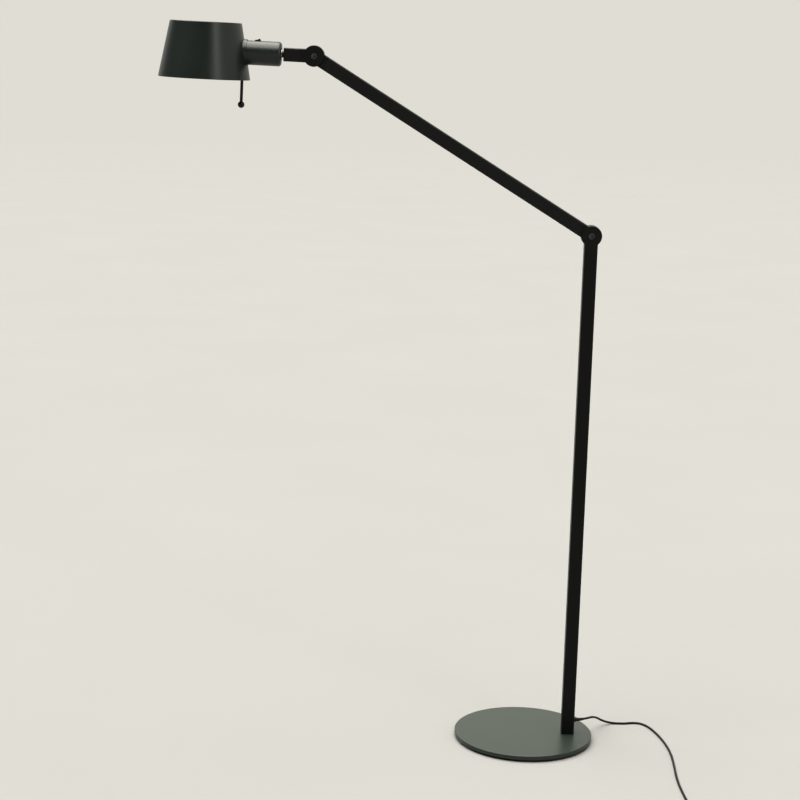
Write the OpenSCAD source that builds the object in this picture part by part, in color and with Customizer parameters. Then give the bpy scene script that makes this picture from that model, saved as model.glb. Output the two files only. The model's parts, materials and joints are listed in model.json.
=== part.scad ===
// Floor lamp with a square pole, one hinged arm, a hinged link and a swivelling head.
// Millimetres, +Z up. The origin is the centre of the round base, on the floor.
// The pole stands to the right of the base's centre and the arm reaches out to the left.

/* [Base] */
// Diameter of the steel base plate
plate_d = 326; // [280:1:400]
// Thickness of the base plate
plate_t = 10; // [8:1:16]
// Thickness of the foam pad under the plate
pad_t = 5; // [3:0.5:8]
// How far the pad's edge stands back from the plate's edge
pad_inset = 9; // [4:1:20]
// Radius on the plate's edges
plate_edge = 1.4; // [0.5:0.1:3]

/* [Pole] */
// Outer width of the square tube, the same for pole, arm and link
tube_w = 30; // [28:0.5:34]
// Wall of the square tube
tube_wall = 1.5; // [1.2:0.1:2]
// Outer corner radius of the square tube
tube_r = 3; // [2:0.1:4]
// Distance of the pole from the base's centre
pole_x = 106; // [60:1:115]
// Height of the elbow's axis above the floor
elbow_z = 1205; // [900:1:1400]

/* [Arm] */
// Distance between the elbow's axis and the wrist's axis
arm_len = 744; // [400:1:900]
// Angle of the arm above level, in degrees
arm_angle = 31; // [0:0.5:60]

/* [Joints] */
// Diameter of the lapped joint discs
disc_d = 47; // [45:0.5:50]
// Thickness of the friction ring between two discs
ring_t = 1.2; // [1:0.1:2]
// Nominal diameter of the joint bolts
bolt_d = 10; // [8:1:10]
// Distance from a joint's axis to where the tube begins
neck_len = 30; // [28:1:40]

/* [Head] */
// Tilt of the head's axis: the shade side is this much higher, in degrees
head_tilt = 1.3; // [0:0.1:5]
// Distance from the wrist's axis to the end of the link
link_len = 67.6; // [60:0.1:80]
// Gap between the link and the lamp housing
neck_gap = 5; // [4:0.1:8]
// Outer diameter of the lamp housing
housing_d = 54; // [52:1:60]
// Distance from the wrist's axis to the housing's open mouth
mouth_x = 176; // [174:1:180]
// Distance from the wrist's axis to the rocker switch
switch_x = 126; // [122:1:126]

/* [Shade] */
// Distance from the wrist's axis to the shade's axis
shade_x = 244; // [240:1:250]
// Diameter of the shade's open lower rim
shade_low_d = 205.8; // [200:0.2:215]
// Diameter of the shade's closed top
shade_top_d = 159.8; // [150:0.2:170]
// Height of the shade
shade_h = 124.4; // [120:0.2:140]
// Height of the shade's top above the head's axis
shade_up = 63.2; // [60:0.2:70]
// Thickness of the spun sheet
shade_wall = 1.2; // [1:0.1:2]

/* [Handle] */
// Diameter of the handle rod
rod_d = 6.5; // [5:0.5:8]
// Distance from the wrist's axis to the rod
rod_x = 159.2; // [158.5:0.1:160]
// Depth of the ball's centre below the head's axis
ball_z = 115.6; // [100:0.2:130]
// Diameter of the ball
ball_d = 15; // [12:0.5:20]

/* [Mains cord] */
// Diameter of the round cord
cord_d = 5; // [5:0.1:5.5]
// Height of the cord gland above the floor
gland_z = 48; // [46:0.5:50]

/* [Hidden] */
$fn = 96;

paint = [0.16, 0.20, 0.17];
black = [0.07, 0.07, 0.07];
steel = [0.62, 0.62, 0.60];
brass = [0.76, 0.62, 0.32];
zinc = [0.70, 0.70, 0.68];
white = [0.93, 0.92, 0.88];
grey_nylon = [0.35, 0.35, 0.36];

fit = 0.05;              // half clearance between parts that are pushed together
slack = 0.1;             // clearance between faces that turn on each other
bore_w = tube_w - 2 * tube_wall;
bore_r = tube_r - tube_wall;
half = tube_w / 2;
plate_top = pad_t + plate_t;
disc_r = disc_d / 2;
relief_r = disc_r + 0.8;
boss_r = 11.5;
race_r = disc_r - 4;     // outer radius of the cable race inside a joint disc
race_depth = 10;
cable_y = 6.5;           // the inner cable's channel, off the middle plane
pin_r = bolt_d / 2;
pin_hole_r = pin_r + 0.08;
head_r = 8;
head_h = 7.2;
head_sink_r = 8.5;
head_sink = 8.2;
nut_af = 16;
nut_sink_r = 9.6;
nut_sink = 9.5;
spring_t = 2;
nut_h = 6.8;
plug_len = 28;           // length of a knuckle's spigot inside its tube
dowel_r = 2;
dowel_off = 10.6;        // from the pole's axis to the dowel
dowel_low = 7;           // the dowel stands in the top of the plate
wrist_x = pole_x - arm_len * cos(arm_angle);
wrist_z = elbow_z + arm_len * sin(arm_angle);

// Head, measured along its own axis from the wrist
nipple_r = 5;
cap_x = link_len + neck_gap + slack;
cap_t = 7.3;
housing_r = housing_d / 2;
housing_wall = 2;
shade_low_r = shade_low_d / 2;
shade_top_r = shade_top_d / 2;
shade_low_z = shade_up - shade_h;
collar_end = 150;
clamp_end = 166.5;
clamp_r = 33;
bezel = [15.6, 10.6];
rocker_opening = [13.8, 8.2];
bezel_low = 26.2;
bezel_top = 27.4;
pivot_z = 25.2;
pivot_r = 0.8;
rocker_tilt = 17;
holder_back = 136;
holder_front = 174;
holder_r = 20;
bulb_tip = 143.6;
bulb_neck = 171;
bulb_len = 106;
bulb_r = 30;
bulb_join = 203;

// Mains cord: a loose curve from the gland to a coil that lies in front of the lamp
boot_route = [[126, 0, 48], [132, 0.4, 48], [138, 2, 48], [143, 4.5, 48]];
cord_route = [
    [143, 4.5, 48], [150, 9, 47.8], [157, 15.5, 47], [164, 24.5, 45.3], [170, 34.5, 42.3],
    [176, 46, 37.5], [183.5, 62, 30], [192, 79, 20.5], [202, 92, 12], [214, 100, 6],
    [228, 103, 3], [243, 103, 2.6], [257, 104, 2.6], [271, 108, 2.6], [286, 108.5, 2.6],
    [300, 101, 2.6], [312, 82, 2.6],
    [322, 54, 2.6], [331, 18, 2.6], [338, -23, 2.6], [342, -64, 2.6], [343, -108, 2.6],
    [341, -162, 2.6], [338, -215, 2.6], [337, -270, 2.6], [339, -322, 2.6], [342, -372, 2.8],
    [343, -420, 3.5]
];
tail_route = [[294, -486.5, 3.5], [284, -487, 4.2], [276, -487, 5.8], [268, -487, 7]];
coil_centre = [308, -446];
coil_in = 22.4;
coil_out = 43;
coil_low = 1;            // the coil lies on its tie
coil_step = 6;
coil_top = 14.8;
plug_tip = 268;          // where the cord enters the plug's boot
plug_y = -487;
plug_z = 7;

// ---------------------------------------------------------------- shared shapes

// Flat outline of the square tube: a square with round corners
module round_square(w, r) {
    square([w - 2 * r, w], center = true);
    square([w, w - 2 * r], center = true);
    for (sx = [-1, 1], sy = [-1, 1])
        translate([sx * (w / 2 - r), sy * (w / 2 - r)]) circle(r);
}

// Solid square bar from z = from to z = to
module bar(w, r, from, to) {
    translate([0, 0, from]) linear_extrude(to - from) round_square(w, r);
}

module square_tube(from, to) {
    difference() {
        bar(tube_w, tube_r, from, to);
        bar(bore_w, bore_r, from - 1, to + 1);
    }
}

// Cylinder along Y between two values of y
module y_cylinder(r, y1, y2) {
    translate([0, min(y1, y2), 0]) rotate([-90, 0, 0]) cylinder(r = r, h = abs(y2 - y1));
}

// Cylinder along X between two values of x
module x_cylinder(r, x1, x2) {
    translate([min(x1, x2), 0, 0]) rotate([0, 90, 0]) cylinder(r = r, h = abs(x2 - x1));
}

module x_ring(r_out, r_in, x1, x2) {
    difference() {
        x_cylinder(r_out, x1, x2);
        x_cylinder(r_in, min(x1, x2) - 1, max(x1, x2) + 1);
    }
}

module y_ring(r_out, r_in, y1, y2) {
    difference() {
        y_cylinder(r_out, y1, y2);
        y_cylinder(r_in, min(y1, y2) - 1, max(y1, y2) + 1);
    }
}

module hex_prism(af, y1, y2) {
    translate([0, min(y1, y2), 0])
        rotate([-90, 0, 0]) cylinder(r = af / 2 / cos(30), h = abs(y2 - y1), $fn = 6);
}

// Disc with a softened outer edge, along Y; the sharp face is at y1
module joint_disc(y1, y2) {
    soft = 0.8;
    dir = sign(y2 - y1);
    y_cylinder(disc_r, y1, y2 - dir * soft);
    translate([0, y2 - dir * soft, 0])
        rotate([-90 * dir, 0, 0]) cylinder(r1 = disc_r, r2 = disc_r - soft, h = soft);
}

// One half of a lapped joint, with its axis on Y and its tube running down along -Z.
// side is -1 for the half nearer the front and 1 for the half behind it.
module knuckle(side, sink_r, sink) {
    face = side * ring_t / 2;
    outer = side * half;
    difference() {
        union() {
            joint_disc(face, outer);
            difference() {
                bar(tube_w, tube_r, -neck_len, 0);
                y_cylinder(relief_r, face, -side * (half + 1));
            }
            bar(bore_w - 2 * fit, bore_r, -neck_len - plug_len, -neck_len);
        }
        y_cylinder(pin_hole_r, -half - 1, half + 1);
        y_cylinder(sink_r, outer - side * sink, outer + side);
        difference() {
            y_cylinder(race_r, face - side, side * race_depth);
            y_cylinder(boss_r, face - 2 * side, side * (race_depth + 1));
        }
        translate([0, side * cable_y, -neck_len - plug_len - 1])
            cylinder(r = 3.3, h = neck_len + plug_len + 1 - boss_r);
    }
}

// Socket head bolt whose head sits in the front half of a joint
module joint_bolt() {
    seat = -half + head_sink;
    difference() {
        union() {
            y_cylinder(head_r, seat - head_h, seat);
            y_cylinder(pin_r, seat, half - 0.6);
        }
        hex_prism(8, seat - head_h - 1, seat - head_h + 4.5);
    }
}

module joint_spring_washer() {
    y_ring(9, pin_hole_r, half - nut_sink + slack, half - nut_sink + slack + spring_t - 0.3);
}

module joint_nut() {
    start = half - nut_sink + slack + spring_t - 0.3;
    difference() {
        hex_prism(nut_af, start, start + nut_h);
        y_cylinder(pin_hole_r, start - 1, start + nut_h + 1);
    }
}

module joint_rings() {
    gap = ring_t / 2;
    y_ring(disc_r - 0.3, race_r + 0.2, -gap + slack, gap);
    y_ring(boss_r - 0.2, pin_hole_r, -gap + slack, gap);
}

// ---------------------------------------------------------------- swept tubes

// Point between b and c on a smooth curve through a, b, c and d
function between(a, b, c, d, t) =
    0.5 * (2 * b + (c - a) * t + (2 * a - 5 * b + 4 * c - d) * t * t
        + (3 * b - a - 3 * c + d) * t * t * t);

function smooth(route, steps) = let (n = len(route) - 1) [
    for (i = [0:n - 1], k = [0:steps - 1])
        between(route[max(i - 1, 0)], route[i], route[i + 1], route[min(i + 2, n)], k / steps),
    route[n]
];

function unit(v) = v / norm(v);

function heading(line, i) = unit(line[min(i + 1, len(line) - 1)] - line[max(i - 1, 0)]);

// Ring of points round line[i]; aside is a direction the line never follows
function ring_points(line, i, r, sides, aside) =
    let (along = heading(line, i), u = unit(cross(along, aside)), v = cross(along, u))
    [for (k = [0:sides - 1])
        line[i] + r * (cos(360 * k / sides) * u + sin(360 * k / sides) * v)];

// Tube along a line, from diameter d to diameter d_end
module swept_tube(line, d, aside = [0, 0, 1], sides = 10, d_end = 0) {
    rings = len(line);
    far_d = d_end > 0 ? d_end : d;
    points = [for (i = [0:rings - 1])
        each ring_points(line, i, (d + (far_d - d) * i / (rings - 1)) / 2, sides, aside)];
    walls = [for (i = [0:rings - 2], k = [0:sides - 1])
        let (a = i * sides + k, b = i * sides + (k + 1) % sides) [b, a, a + sides, b + sides]];
    start = [for (k = [0:sides - 1]) k];
    end = [for (k = [sides - 1:-1:0]) (rings - 1) * sides + k];
    polyhedron(points, concat(walls, [start, end]), convexity = 6);
}

// ---------------------------------------------------------------- places

module at_elbow() {
    translate([pole_x, 0, elbow_z]) children();
}

// Frame of the arm: the elbow is the origin and the wrist lies along -Z
module along_arm() {
    at_elbow() rotate([0, 90 + arm_angle, 0]) children();
}

module at_wrist() {
    translate([wrist_x, 0, wrist_z]) children();
}

// Frame of the head: the wrist is the origin and the shade lies towards -X
module in_head() {
    at_wrist() rotate([0, head_tilt, 0]) children();
}

// ---------------------------------------------------------------- base and pole

module base_pad() {
    color(black) cylinder(r = plate_d / 2 - pad_inset, h = pad_t);
}

module base_plate() {
    r = plate_d / 2;
    e = plate_edge;
    color(paint) translate([0, 0, pad_t]) difference() {
        rotate_extrude() {
            square([r - e, plate_t]);
            translate([0, e]) square([r, plate_t - 2 * e]);
            for (z = [e, plate_t - e]) translate([r - e, z]) circle(e, $fn = 32);
        }
        translate([pole_x, 0, -1]) cylinder(r = 5.25, h = plate_t + 2);
        translate([pole_x, 0, -1]) cylinder(r = 9, h = 7.5);
        translate([pole_x - dowel_off, 0, dowel_low - slack])
            cylinder(r = dowel_r + fit, h = plate_t);
    }
}

module pole_bolt() {
    color(zinc) translate([pole_x, 0, pad_t]) difference() {
        union() {
            translate([0, 0, 0.3]) cylinder(r = 8, h = 5.2);
            cylinder(r = 5, h = plate_t + 14);
        }
        translate([0, 0, -1]) cylinder(r = 4 / cos(30), h = 4.5, $fn = 6);
    }
}

module pole_washer() {
    color(zinc) translate([pole_x, 0, pad_t + 5.5]) difference() {
        cylinder(r = 8.6, h = 1);
        translate([0, 0, -1]) cylinder(r = 5.1, h = 3);
    }
}

module pole_dowel() {
    color(steel) translate([pole_x - dowel_off, 0, pad_t + dowel_low])
        cylinder(r = dowel_r, h = plate_t - dowel_low + 7);
}

module pole_foot() {
    color(zinc) translate([pole_x, 0, 0]) difference() {
        bar(bore_w - 2 * fit, bore_r, plate_top, plate_top + 20);
        translate([0, 0, plate_top - 1]) cylinder(r = 5.05, h = 30);
        translate([-dowel_off, 0, plate_top - 1]) cylinder(r = dowel_r + fit, h = 9);
    }
}

module pole_tube() {
    color(paint) difference() {
        translate([pole_x, 0, 0]) square_tube(plate_top, elbow_z - neck_len);
        translate([pole_x, 0, gland_z]) x_cylinder(4.05, half - 5, half + 5);
    }
}

module pole_knuckle() {
    color(paint) at_elbow() knuckle(-1, head_sink_r, head_sink);
}

// Quarter turn from the gland into the tube, then straight up to the elbow
module pole_cable() {
    start = [pole_x + half - 5, 0, gland_z];
    away = [pole_x - start.x, -cable_y, 0];
    bend = [for (a = [0:15:90]) start + away * sin(a) + [0, 0, norm(away) * (1 - cos(a))]];
    upright = bend[len(bend) - 1] + [0, 0, cord_d];
    top = [pole_x, -cable_y, elbow_z - boss_r - 1];
    color(black) swept_tube(concat(bend, [upright, top]), cord_d, [0, 1, 0]);
}

// ---------------------------------------------------------------- cord and plug

module cord_gland() {
    side = pole_x + half;
    color(black) translate([0, 0, gland_z]) {
        x_cylinder(4, side - 5, side);
        x_cylinder(6, side, side + 3.5);
        translate([side + 3.5, 0, 0]) rotate([0, 90, 0]) cylinder(r1 = 6, r2 = 5, h = 1.5);
    }
}

module gland_nut() {
    inner = pole_x + half - tube_wall;
    color(black) translate([0, 0, gland_z]) difference() {
        translate([inner - 3, 0, 0])
            rotate([0, 90, 0]) cylinder(r = 5.5 / cos(30), h = 3, $fn = 6);
        x_cylinder(4.05, inner - 5, inner + 5);
    }
}

// Rubber boot that bends with the cord
module strain_relief() {
    color(black) swept_tube(smooth(boot_route, 4), 9, sides = 16, d_end = cord_d + 1);
}

module mains_cord() {
    color(black) swept_tube(smooth(cord_route, 3), cord_d);
}

module cord_coil() {
    color(black) translate([coil_centre.x, coil_centre.y, 0]) rotate_extrude()
        polygon([[coil_in, coil_low], [coil_out, coil_low], [coil_out, coil_step],
            [coil_in + 10.6, coil_top], [coil_in + 4.6, coil_top], [coil_in, coil_step]]);
}

module cord_tail() {
    color(black) swept_tube(smooth(tail_route, 3), cord_d);
}

// Band round the coil's bundle, on the side away from the plug
module cord_tie() {
    w = 5;
    t = 0.8;
    wide = coil_out - coil_in + 0.8;
    high = coil_top - coil_low + 0.2;
    color(black) translate([coil_centre.x, coil_centre.y, 0]) rotate([0, 0, 150])
        translate([(coil_in + coil_out - wide) / 2, -w / 2, coil_low - 0.1]) difference() {
            translate([-t, 0, -t]) cube([wide + 2 * t, w, high + 2 * t]);
            translate([0, -1, 0]) cube([wide, w + 2, high]);
        }
}

module plug_body() {
    color(black) translate([plug_tip, plug_y, plug_z]) {
        rotate([0, -90, 0]) cylinder(r1 = 3, r2 = 5, h = 16);
        translate([-16, 0, 0]) rotate([0, -90, 0]) linear_extrude(34) {
            square([13.6, 22], center = true);
            for (s = [-1, 1]) translate([0, s * 11]) circle(6.8);
        }
    }
}

module plug_pins() {
    color(steel) for (s = [-1, 1])
        translate([plug_tip - 50, plug_y + s * 9.3, plug_z]) {
            rotate([0, -90, 0]) cylinder(r = 2, h = 17);
            translate([-17, 0, 0]) sphere(2);
        }
}

// ---------------------------------------------------------------- elbow

module elbow_bolt() {
    color(black) at_elbow() joint_bolt();
}

module elbow_spring_washer() {
    color(zinc) at_elbow() joint_spring_washer();
}

module elbow_nut() {
    color(black) at_elbow() joint_nut();
}

module elbow_friction_rings() {
    color(grey_nylon) at_elbow() joint_rings();
}

// ---------------------------------------------------------------- arm

module arm_lower_knuckle() {
    color(paint) along_arm() knuckle(1, nut_sink_r, nut_sink);
}

module arm_tube() {
    color(paint) along_arm() square_tube(-arm_len + neck_len, -neck_len);
}

module arm_upper_knuckle() {
    color(paint) at_wrist() rotate([0, arm_angle - 90, 0]) knuckle(1, nut_sink_r, nut_sink);
}

module arm_cable() {
    near = boss_r + 1;
    color(black) along_arm() translate([0, cable_y, near - arm_len])
        cylinder(r = cord_d / 2, h = arm_len - 2 * near);
}

// ---------------------------------------------------------------- wrist and link

module wrist_bolt() {
    color(black) at_wrist() joint_bolt();
}

module wrist_spring_washer() {
    color(zinc) at_wrist() joint_spring_washer();
}

module wrist_nut() {
    color(black) at_wrist() joint_nut();
}

module wrist_friction_rings() {
    color(grey_nylon) at_wrist() mirror([0, 1, 0]) joint_rings();
}

// Turns a shape that runs along -Z so that it runs along the head's axis
module towards_shade() {
    in_head() rotate([0, 90, 0]) children();
}

module link_knuckle() {
    color(paint) towards_shade() difference() {
        knuckle(-1, head_sink_r, head_sink);
        bar(tube_w + 2, 1, -link_len, -40);
    }
}

module link_tube() {
    color(paint) towards_shade() square_tube(-link_len + 3, -neck_len);
}

module link_end() {
    color(paint) towards_shade() difference() {
        union() {
            bar(tube_w, tube_r, -link_len, -link_len + 3);
            bar(bore_w - 2 * fit, bore_r, -link_len + 3, -link_len + 17.5);
        }
        translate([0, 0, -link_len - 1]) cylinder(r = nipple_r + fit, h = 30);
    }
}

module link_cable() {
    route = [[-boss_r - 1, -cable_y, 0], [-30, -cable_y, 0], [-39, -cable_y, 0],
        [-44, -4, 0], [-49, -1, 0], [-53, 0, 0], [-70, 0, 0], [-94, 0, 0]];
    color(black) in_head() swept_tube(smooth(route, 2), 4.6, [0, 1, 0]);
}

// ---------------------------------------------------------------- swivel

module swivel_nipple() {
    color(zinc) in_head() x_ring(nipple_r, 2.6, -link_len + 15, -94);
}

module swivel_spacer() {
    color(paint) in_head() x_ring(7, nipple_r + fit, -link_len, -link_len - neck_gap + 1);
}

module swivel_washer() {
    color(zinc)
        in_head() x_ring(10, nipple_r + fit, -link_len - neck_gap + 1, -link_len - neck_gap);
}

module swivel_bush() {
    color(grey_nylon) in_head() x_ring(8, nipple_r + 0.08, -cap_x, -cap_x - 9.3);
}

module swivel_spring() {
    color(steel)
        in_head() x_ring(9.5, nipple_r + 0.1, -cap_x - 9.3 - slack, -cap_x - 11);
}

module swivel_locknut() {
    start = -cap_x - 11;
    color(zinc) in_head() difference() {
        translate([start - 5, 0, 0])
            rotate([0, 90, 0]) cylinder(r = 8 / cos(30), h = 5, $fn = 6);
        x_cylinder(nipple_r + fit, start - 6, start + 1);
    }
}

// ---------------------------------------------------------------- head

// Turned disc with a rounded rim that closes the housing on the arm's side
module end_cap() {
    e = 6.5;
    inside = housing_r - housing_wall - fit;
    color(paint) in_head() translate([-cap_x, 0, 0]) rotate([0, -90, 0]) rotate_extrude() {
        translate([8 + fit, 0]) square([housing_r - e - 8, cap_t]);
        translate([8 + fit, e]) square([housing_r - 8 - fit, cap_t - e]);
        translate([housing_r - e, e]) intersection() {
            circle(e);
            translate([0, -e]) square(e);
        }
        translate([inside - 2.5, cap_t - 1]) square([2.5, 9]);
    }
}

module lamp_housing() {
    color(paint) in_head() difference() {
        x_ring(housing_r, housing_r - housing_wall, -cap_x - cap_t, -mouth_x);
        translate([-switch_x - bezel.x / 2 - 0.1, -bezel.y / 2 - 0.1, bezel_low])
            cube([bezel.x + 0.2, bezel.y + 0.2, 5]);
        translate([-switch_x - rocker_opening.x / 2 - 0.6, -rocker_opening.y / 2 - 0.6, 15])
            cube([rocker_opening.x + 1.2, rocker_opening.y + 1.2, 15]);
    }
}

// Solid cone of the shade's outside, grown or shrunk by step and cut off below the top
module shade_cone(step, cut = 0) {
    wider = (shade_low_r - shade_top_r) * cut / shade_h;
    translate([-shade_x, 0, shade_low_z])
        cylinder(r1 = shade_low_r + step, r2 = shade_top_r + step + wider, h = shade_h - cut);
}

module shade_collar() {
    color(paint) in_head() difference() {
        x_ring(housing_r + 2.2, housing_r + fit, -collar_end, -shade_x + shade_top_r);
        shade_cone(fit);
    }
}

module shade() {
    color(paint) in_head() difference() {
        shade_cone(0);
        translate([0, 0, -0.01]) shade_cone(-shade_wall, shade_wall);
        x_cylinder(housing_r + fit, -shade_x, -shade_x + shade_low_r);
    }
}

module shade_clamp_ring() {
    color(black) in_head() difference() {
        intersection() {
            x_ring(clamp_r, housing_r + fit, -clamp_end, -shade_x + shade_low_r);
            shade_cone(-shade_wall - fit);
        }
        translate([-rod_x, 0, -clamp_r - 5]) cylinder(r = rod_d / 2 + fit, h = 12);
    }
}

module handle_rod() {
    color(black) in_head() translate([-rod_x, 0, -ball_z + 3])
        cylinder(r = rod_d / 2, h = ball_z - 3 - housing_r - 0.3);
}

module ball_knob() {
    color(black) in_head() translate([-rod_x, 0, -ball_z]) difference() {
        sphere(ball_d / 2);
        translate([0, 0, 3]) cylinder(r = rod_d / 2 + fit, h = ball_d);
    }
}

module switch_body() {
    hole = rocker_opening;
    color(black) in_head() translate([-switch_x, 0, 0]) difference() {
        union() {
            translate([-bezel.x / 2, -bezel.y / 2, bezel_low])
                cube([bezel.x, bezel.y, bezel_top - bezel_low]);
            translate([-hole.x / 2 - 0.5, -hole.y / 2 - 0.5, 17])
                cube([hole.x + 1, hole.y + 1, bezel_low - 17]);
        }
        translate([-hole.x / 2, -hole.y / 2, 21.5]) cube([hole.x, hole.y, 10]);
        translate([0, 0, pivot_z]) y_cylinder(pivot_r + fit, -hole.y, hole.y);
    }
}

// Rocker with a shallow V on top, its raised end towards the arm, on two pivots
module switch_rocker() {
    a = 5.8;
    low = 4.4;
    high = low + a * tan(9);
    color(black) in_head() translate([-switch_x, 0, pivot_z]) rotate([0, -rocker_tilt, 0]) {
        rotate([90, 0, 0]) translate([0, 0, -3.9]) linear_extrude(7.8)
            polygon([[-a, high], [0, low], [a, high], [a, -1], [-a, -1]]);
        y_cylinder(pivot_r, -4.5, 4.5);
    }
}

module switch_wires() {
    color(black) in_head() for (s = [-1, 1]) {
        swept_tube(smooth([[-97, 1.6 * s, 0], [-107, 2.5 * s, 4], [-117, 2.5 * s, 8],
            [-123, 2.5 * s, 12], [-124, 2.5 * s, 16]], 3), 2.2, [0, 1, 0]);
        swept_tube(smooth([[-97, 2.5 * s, -3.5], [-110, 4 * s, -7], [-124, 6 * s, -8],
            [-135.9, 6 * s, -8]], 3), 2.2, [0, 1, 0]);
    }
}

// ---------------------------------------------------------------- lampholder and bulb

module lampholder_ring() {
    color(black) in_head() x_ring(housing_r - housing_wall - fit, holder_r + fit, -171, -mouth_x);
}

module lampholder_body() {
    color(black) in_head() difference() {
        x_cylinder(holder_r, -holder_back, -holder_front);
        x_cylinder(14.4, -holder_back - 4, -holder_front - 1);
    }
}

module holder_shell() {
    color(brass) in_head() x_ring(14.35, 13.5, -144.5, -170);
}

module holder_contact() {
    color(brass) in_head() translate([-bulb_tip + 0.3, -3, -5]) cube([1, 6, 10]);
    color(brass) in_head() translate([-bulb_tip + 0.3, -2, -2]) cube([3.2, 4, 1]);
}

module bulb_cap() {
    color(zinc) in_head() {
        x_ring(13.3, 12.6, -bulb_tip - 5, -bulb_neck);
        x_cylinder(13.3, -bulb_tip - 4, -bulb_tip - 5);
        translate([-bulb_tip - 4, 0, 0]) rotate([0, 90, 0]) cylinder(r1 = 10, r2 = 4, h = 4);
    }
}

module bulb_base() {
    color(white) in_head() translate([-bulb_neck, 0, 0])
        rotate([0, -90, 0]) cylinder(r1 = 13.2, r2 = 25, h = bulb_join - bulb_neck);
}

module bulb_globe() {
    centre = bulb_tip + bulb_len - bulb_r;
    color(white) in_head() intersection() {
        translate([-centre, 0, 0]) difference() {
            sphere(bulb_r);
            sphere(bulb_r - 1);
        }
        x_cylinder(bulb_r + 1, -bulb_join, -centre - bulb_r - 1);
    }
}

// ---------------------------------------------------------------- drawing

base_pad();
base_plate();
pole_bolt();
pole_washer();
pole_dowel();
pole_foot();
pole_tube();
pole_knuckle();
pole_cable();
cord_gland();
gland_nut();
strain_relief();
mains_cord();
cord_coil();
cord_tail();
cord_tie();
plug_body();
plug_pins();
elbow_bolt();
elbow_spring_washer();
elbow_nut();
elbow_friction_rings();
arm_lower_knuckle();
arm_tube();
arm_upper_knuckle();
arm_cable();
wrist_friction_rings();
wrist_bolt();
wrist_spring_washer();
wrist_nut();
link_knuckle();
link_tube();
link_end();
link_cable();
swivel_nipple();
swivel_spacer();
swivel_washer();
swivel_spring();
swivel_locknut();
swivel_bush();
end_cap();
lamp_housing();
shade_collar();
shade();
shade_clamp_ring();
handle_rod();
ball_knob();
switch_body();
switch_rocker();
switch_wires();
lampholder_ring();
lampholder_body();
holder_shell();
holder_contact();
bulb_cap();
bulb_base();
bulb_globe();
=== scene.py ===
import json
from math import atan2, cos, pi, radians, sin, sqrt, tan
import bmesh
import bpy
from mathutils import Matrix, Vector


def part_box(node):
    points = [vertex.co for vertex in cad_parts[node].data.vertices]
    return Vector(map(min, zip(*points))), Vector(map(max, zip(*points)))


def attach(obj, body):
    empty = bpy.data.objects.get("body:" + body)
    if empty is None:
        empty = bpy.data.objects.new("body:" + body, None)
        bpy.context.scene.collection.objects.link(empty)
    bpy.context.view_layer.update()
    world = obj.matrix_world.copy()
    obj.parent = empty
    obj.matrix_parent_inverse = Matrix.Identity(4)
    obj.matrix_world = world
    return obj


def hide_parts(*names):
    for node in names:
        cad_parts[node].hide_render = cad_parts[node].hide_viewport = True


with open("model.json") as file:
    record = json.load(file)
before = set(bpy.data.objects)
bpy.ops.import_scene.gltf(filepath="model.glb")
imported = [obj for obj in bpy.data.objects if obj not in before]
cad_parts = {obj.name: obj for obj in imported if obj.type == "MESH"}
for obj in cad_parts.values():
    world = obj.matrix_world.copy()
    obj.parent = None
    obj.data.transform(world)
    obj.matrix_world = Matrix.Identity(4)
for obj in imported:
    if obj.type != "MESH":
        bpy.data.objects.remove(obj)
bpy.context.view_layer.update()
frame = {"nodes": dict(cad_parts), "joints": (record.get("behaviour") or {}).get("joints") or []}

# ---------------------------------------------------------------- foam pad
# A disc of black closed-cell foam, die cut and glued under the steel plate. It stands back
# from the plate's edge, so the plate seems to float, and it is all that touches the floor.

MM = 0.001


class Channel:
    """A shader socket that can be used in arithmetic, each step adding a Math node."""

    def __init__(self, finish, socket):
        self.finish = finish
        self.socket = socket

    def __add__(self, other):
        return self.finish.math("ADD", self, other)

    def __sub__(self, other):
        return self.finish.math("SUBTRACT", self, other)

    def __rsub__(self, other):
        return self.finish.math("SUBTRACT", other, self)

    def __mul__(self, other):
        return self.finish.math("MULTIPLY", self, other)

    __radd__ = __add__
    __rmul__ = __mul__


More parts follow.
